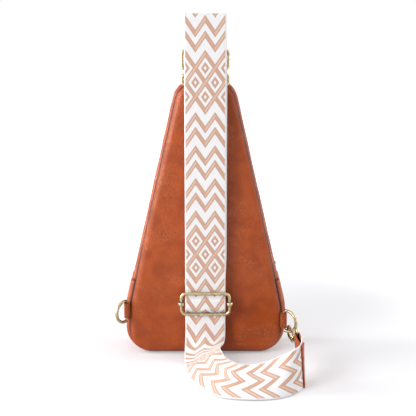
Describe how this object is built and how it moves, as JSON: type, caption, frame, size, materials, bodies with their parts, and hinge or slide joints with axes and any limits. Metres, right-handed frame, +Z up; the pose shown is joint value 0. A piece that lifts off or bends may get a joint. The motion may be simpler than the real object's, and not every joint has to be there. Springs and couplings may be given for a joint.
{
  "type": "sling bag with webbing strap",
  "caption": "Upright leather sling bag with zipped top gusset, side rings and a wide webbing strap clipped on with a swivel snap hook.",
  "frame": {"origin": "centre of the bag's flat base", "axes": "+Z up, +X along the bag's width, -Y out of its back panel"},
  "size_m": [0.2292, 0.2057, 0.4243],
  "materials": {
    "leather": "waxed pull-up grain, semi gloss",
    "webbing": "woven zigzag webbing",
    "brass": "antique",
    "zip_tape": "matte",
    "zip_teeth": "antique",
    "board": "matte",
    "lining": "matte"
  },
  "bodies": {
    "bag": {"back_panel": "leather", "front_panel": "leather", "bottom_gusset": "leather", "zip_gusset_back": "leather", "zip_gusset_front": "leather", "main_zip_tape": "zip_tape", "main_zip_chain": "zip_teeth", "pocket_zip_tape": "zip_tape", "pocket_zip_chain": "zip_teeth", "pocket_bag": "lining", "base_board": "board", "top_tab": "leather", "lower_ring": "brass", "top_link": "leather", "upper_ring": "brass", "left_tab": "leather", "right_tab": "leather", "strap_webbing": "webbing", "slider_frame": "brass", "slider_bar": "brass", "strap_end": "leather", "hook_eye": "brass"},
    "left_d_ring": {"left_ring": "brass"},
    "right_d_ring": {"right_ring": "brass"},
    "main_slider": {"main_zip_slider": "brass"},
    "main_pull": {"main_zip_pull": "brass"},
    "pocket_slider": {"pocket_zip_slider": "brass"},
    "pocket_pull": {"pocket_zip_pull": "brass"},
    "hook": {"hook_body": "brass", "gate_pin": "brass"},
    "gate": {"hook_gate": "brass"}
  },
  "joints": [
    {"name": "left_ring_swing", "type": "hinge", "parent": "bag", "child": "left_d_ring", "pos_m": [-0.09918, -0.0275, 0.0565], "axis": [0, 0, 1], "range_deg": [-50, 45]},
    {"name": "right_ring_swing", "type": "hinge", "parent": "bag", "child": "right_d_ring", "pos_m": [0.0997, -0.0275, 0.0436], "axis": [0, 0, 1], "range_deg": [-6, 6]},
    {"name": "main_zip_slide", "type": "slide", "parent": "bag", "child": "main_slider", "axis": [-0.2264, 0, 0.974], "range_m": [0, 0.17]},
    {"name": "main_pull_flip", "type": "hinge", "parent": "main_slider", "child": "main_pull", "pos_m": [0.08789, 0, 0.11176], "axis": [0, -1, 0], "range_deg": [0, 170]},
    {"name": "pocket_zip_slide", "type": "slide", "parent": "bag", "child": "pocket_slider", "axis": [1, 0, 0], "range_m": [0, 0.068]},
    {"name": "pocket_pull_flip", "type": "hinge", "parent": "pocket_slider", "child": "pocket_pull", "pos_m": [-0.034, 0.02661, 0.21809], "axis": [1, 0, 0], "range_deg": [0, 170]},
    {"name": "hook_swivel", "type": "hinge", "parent": "bag", "child": "hook", "pos_m": [0.11023, -0.06443, 0.03218], "axis": [-0.1231, 0.9906, -0.0603], "range_deg": [-2, 15]},
    {"name": "hook_gate_hinge", "type": "hinge", "parent": "hook", "child": "gate", "pos_m": [0.1081, -0.05, 0.0381], "axis": [-0.9908, -0.1261, -0.0495], "range_deg": [0, 30], "stiffness_Nm_per_rad": 0.05, "springref_deg": -11.46}
  ]
}
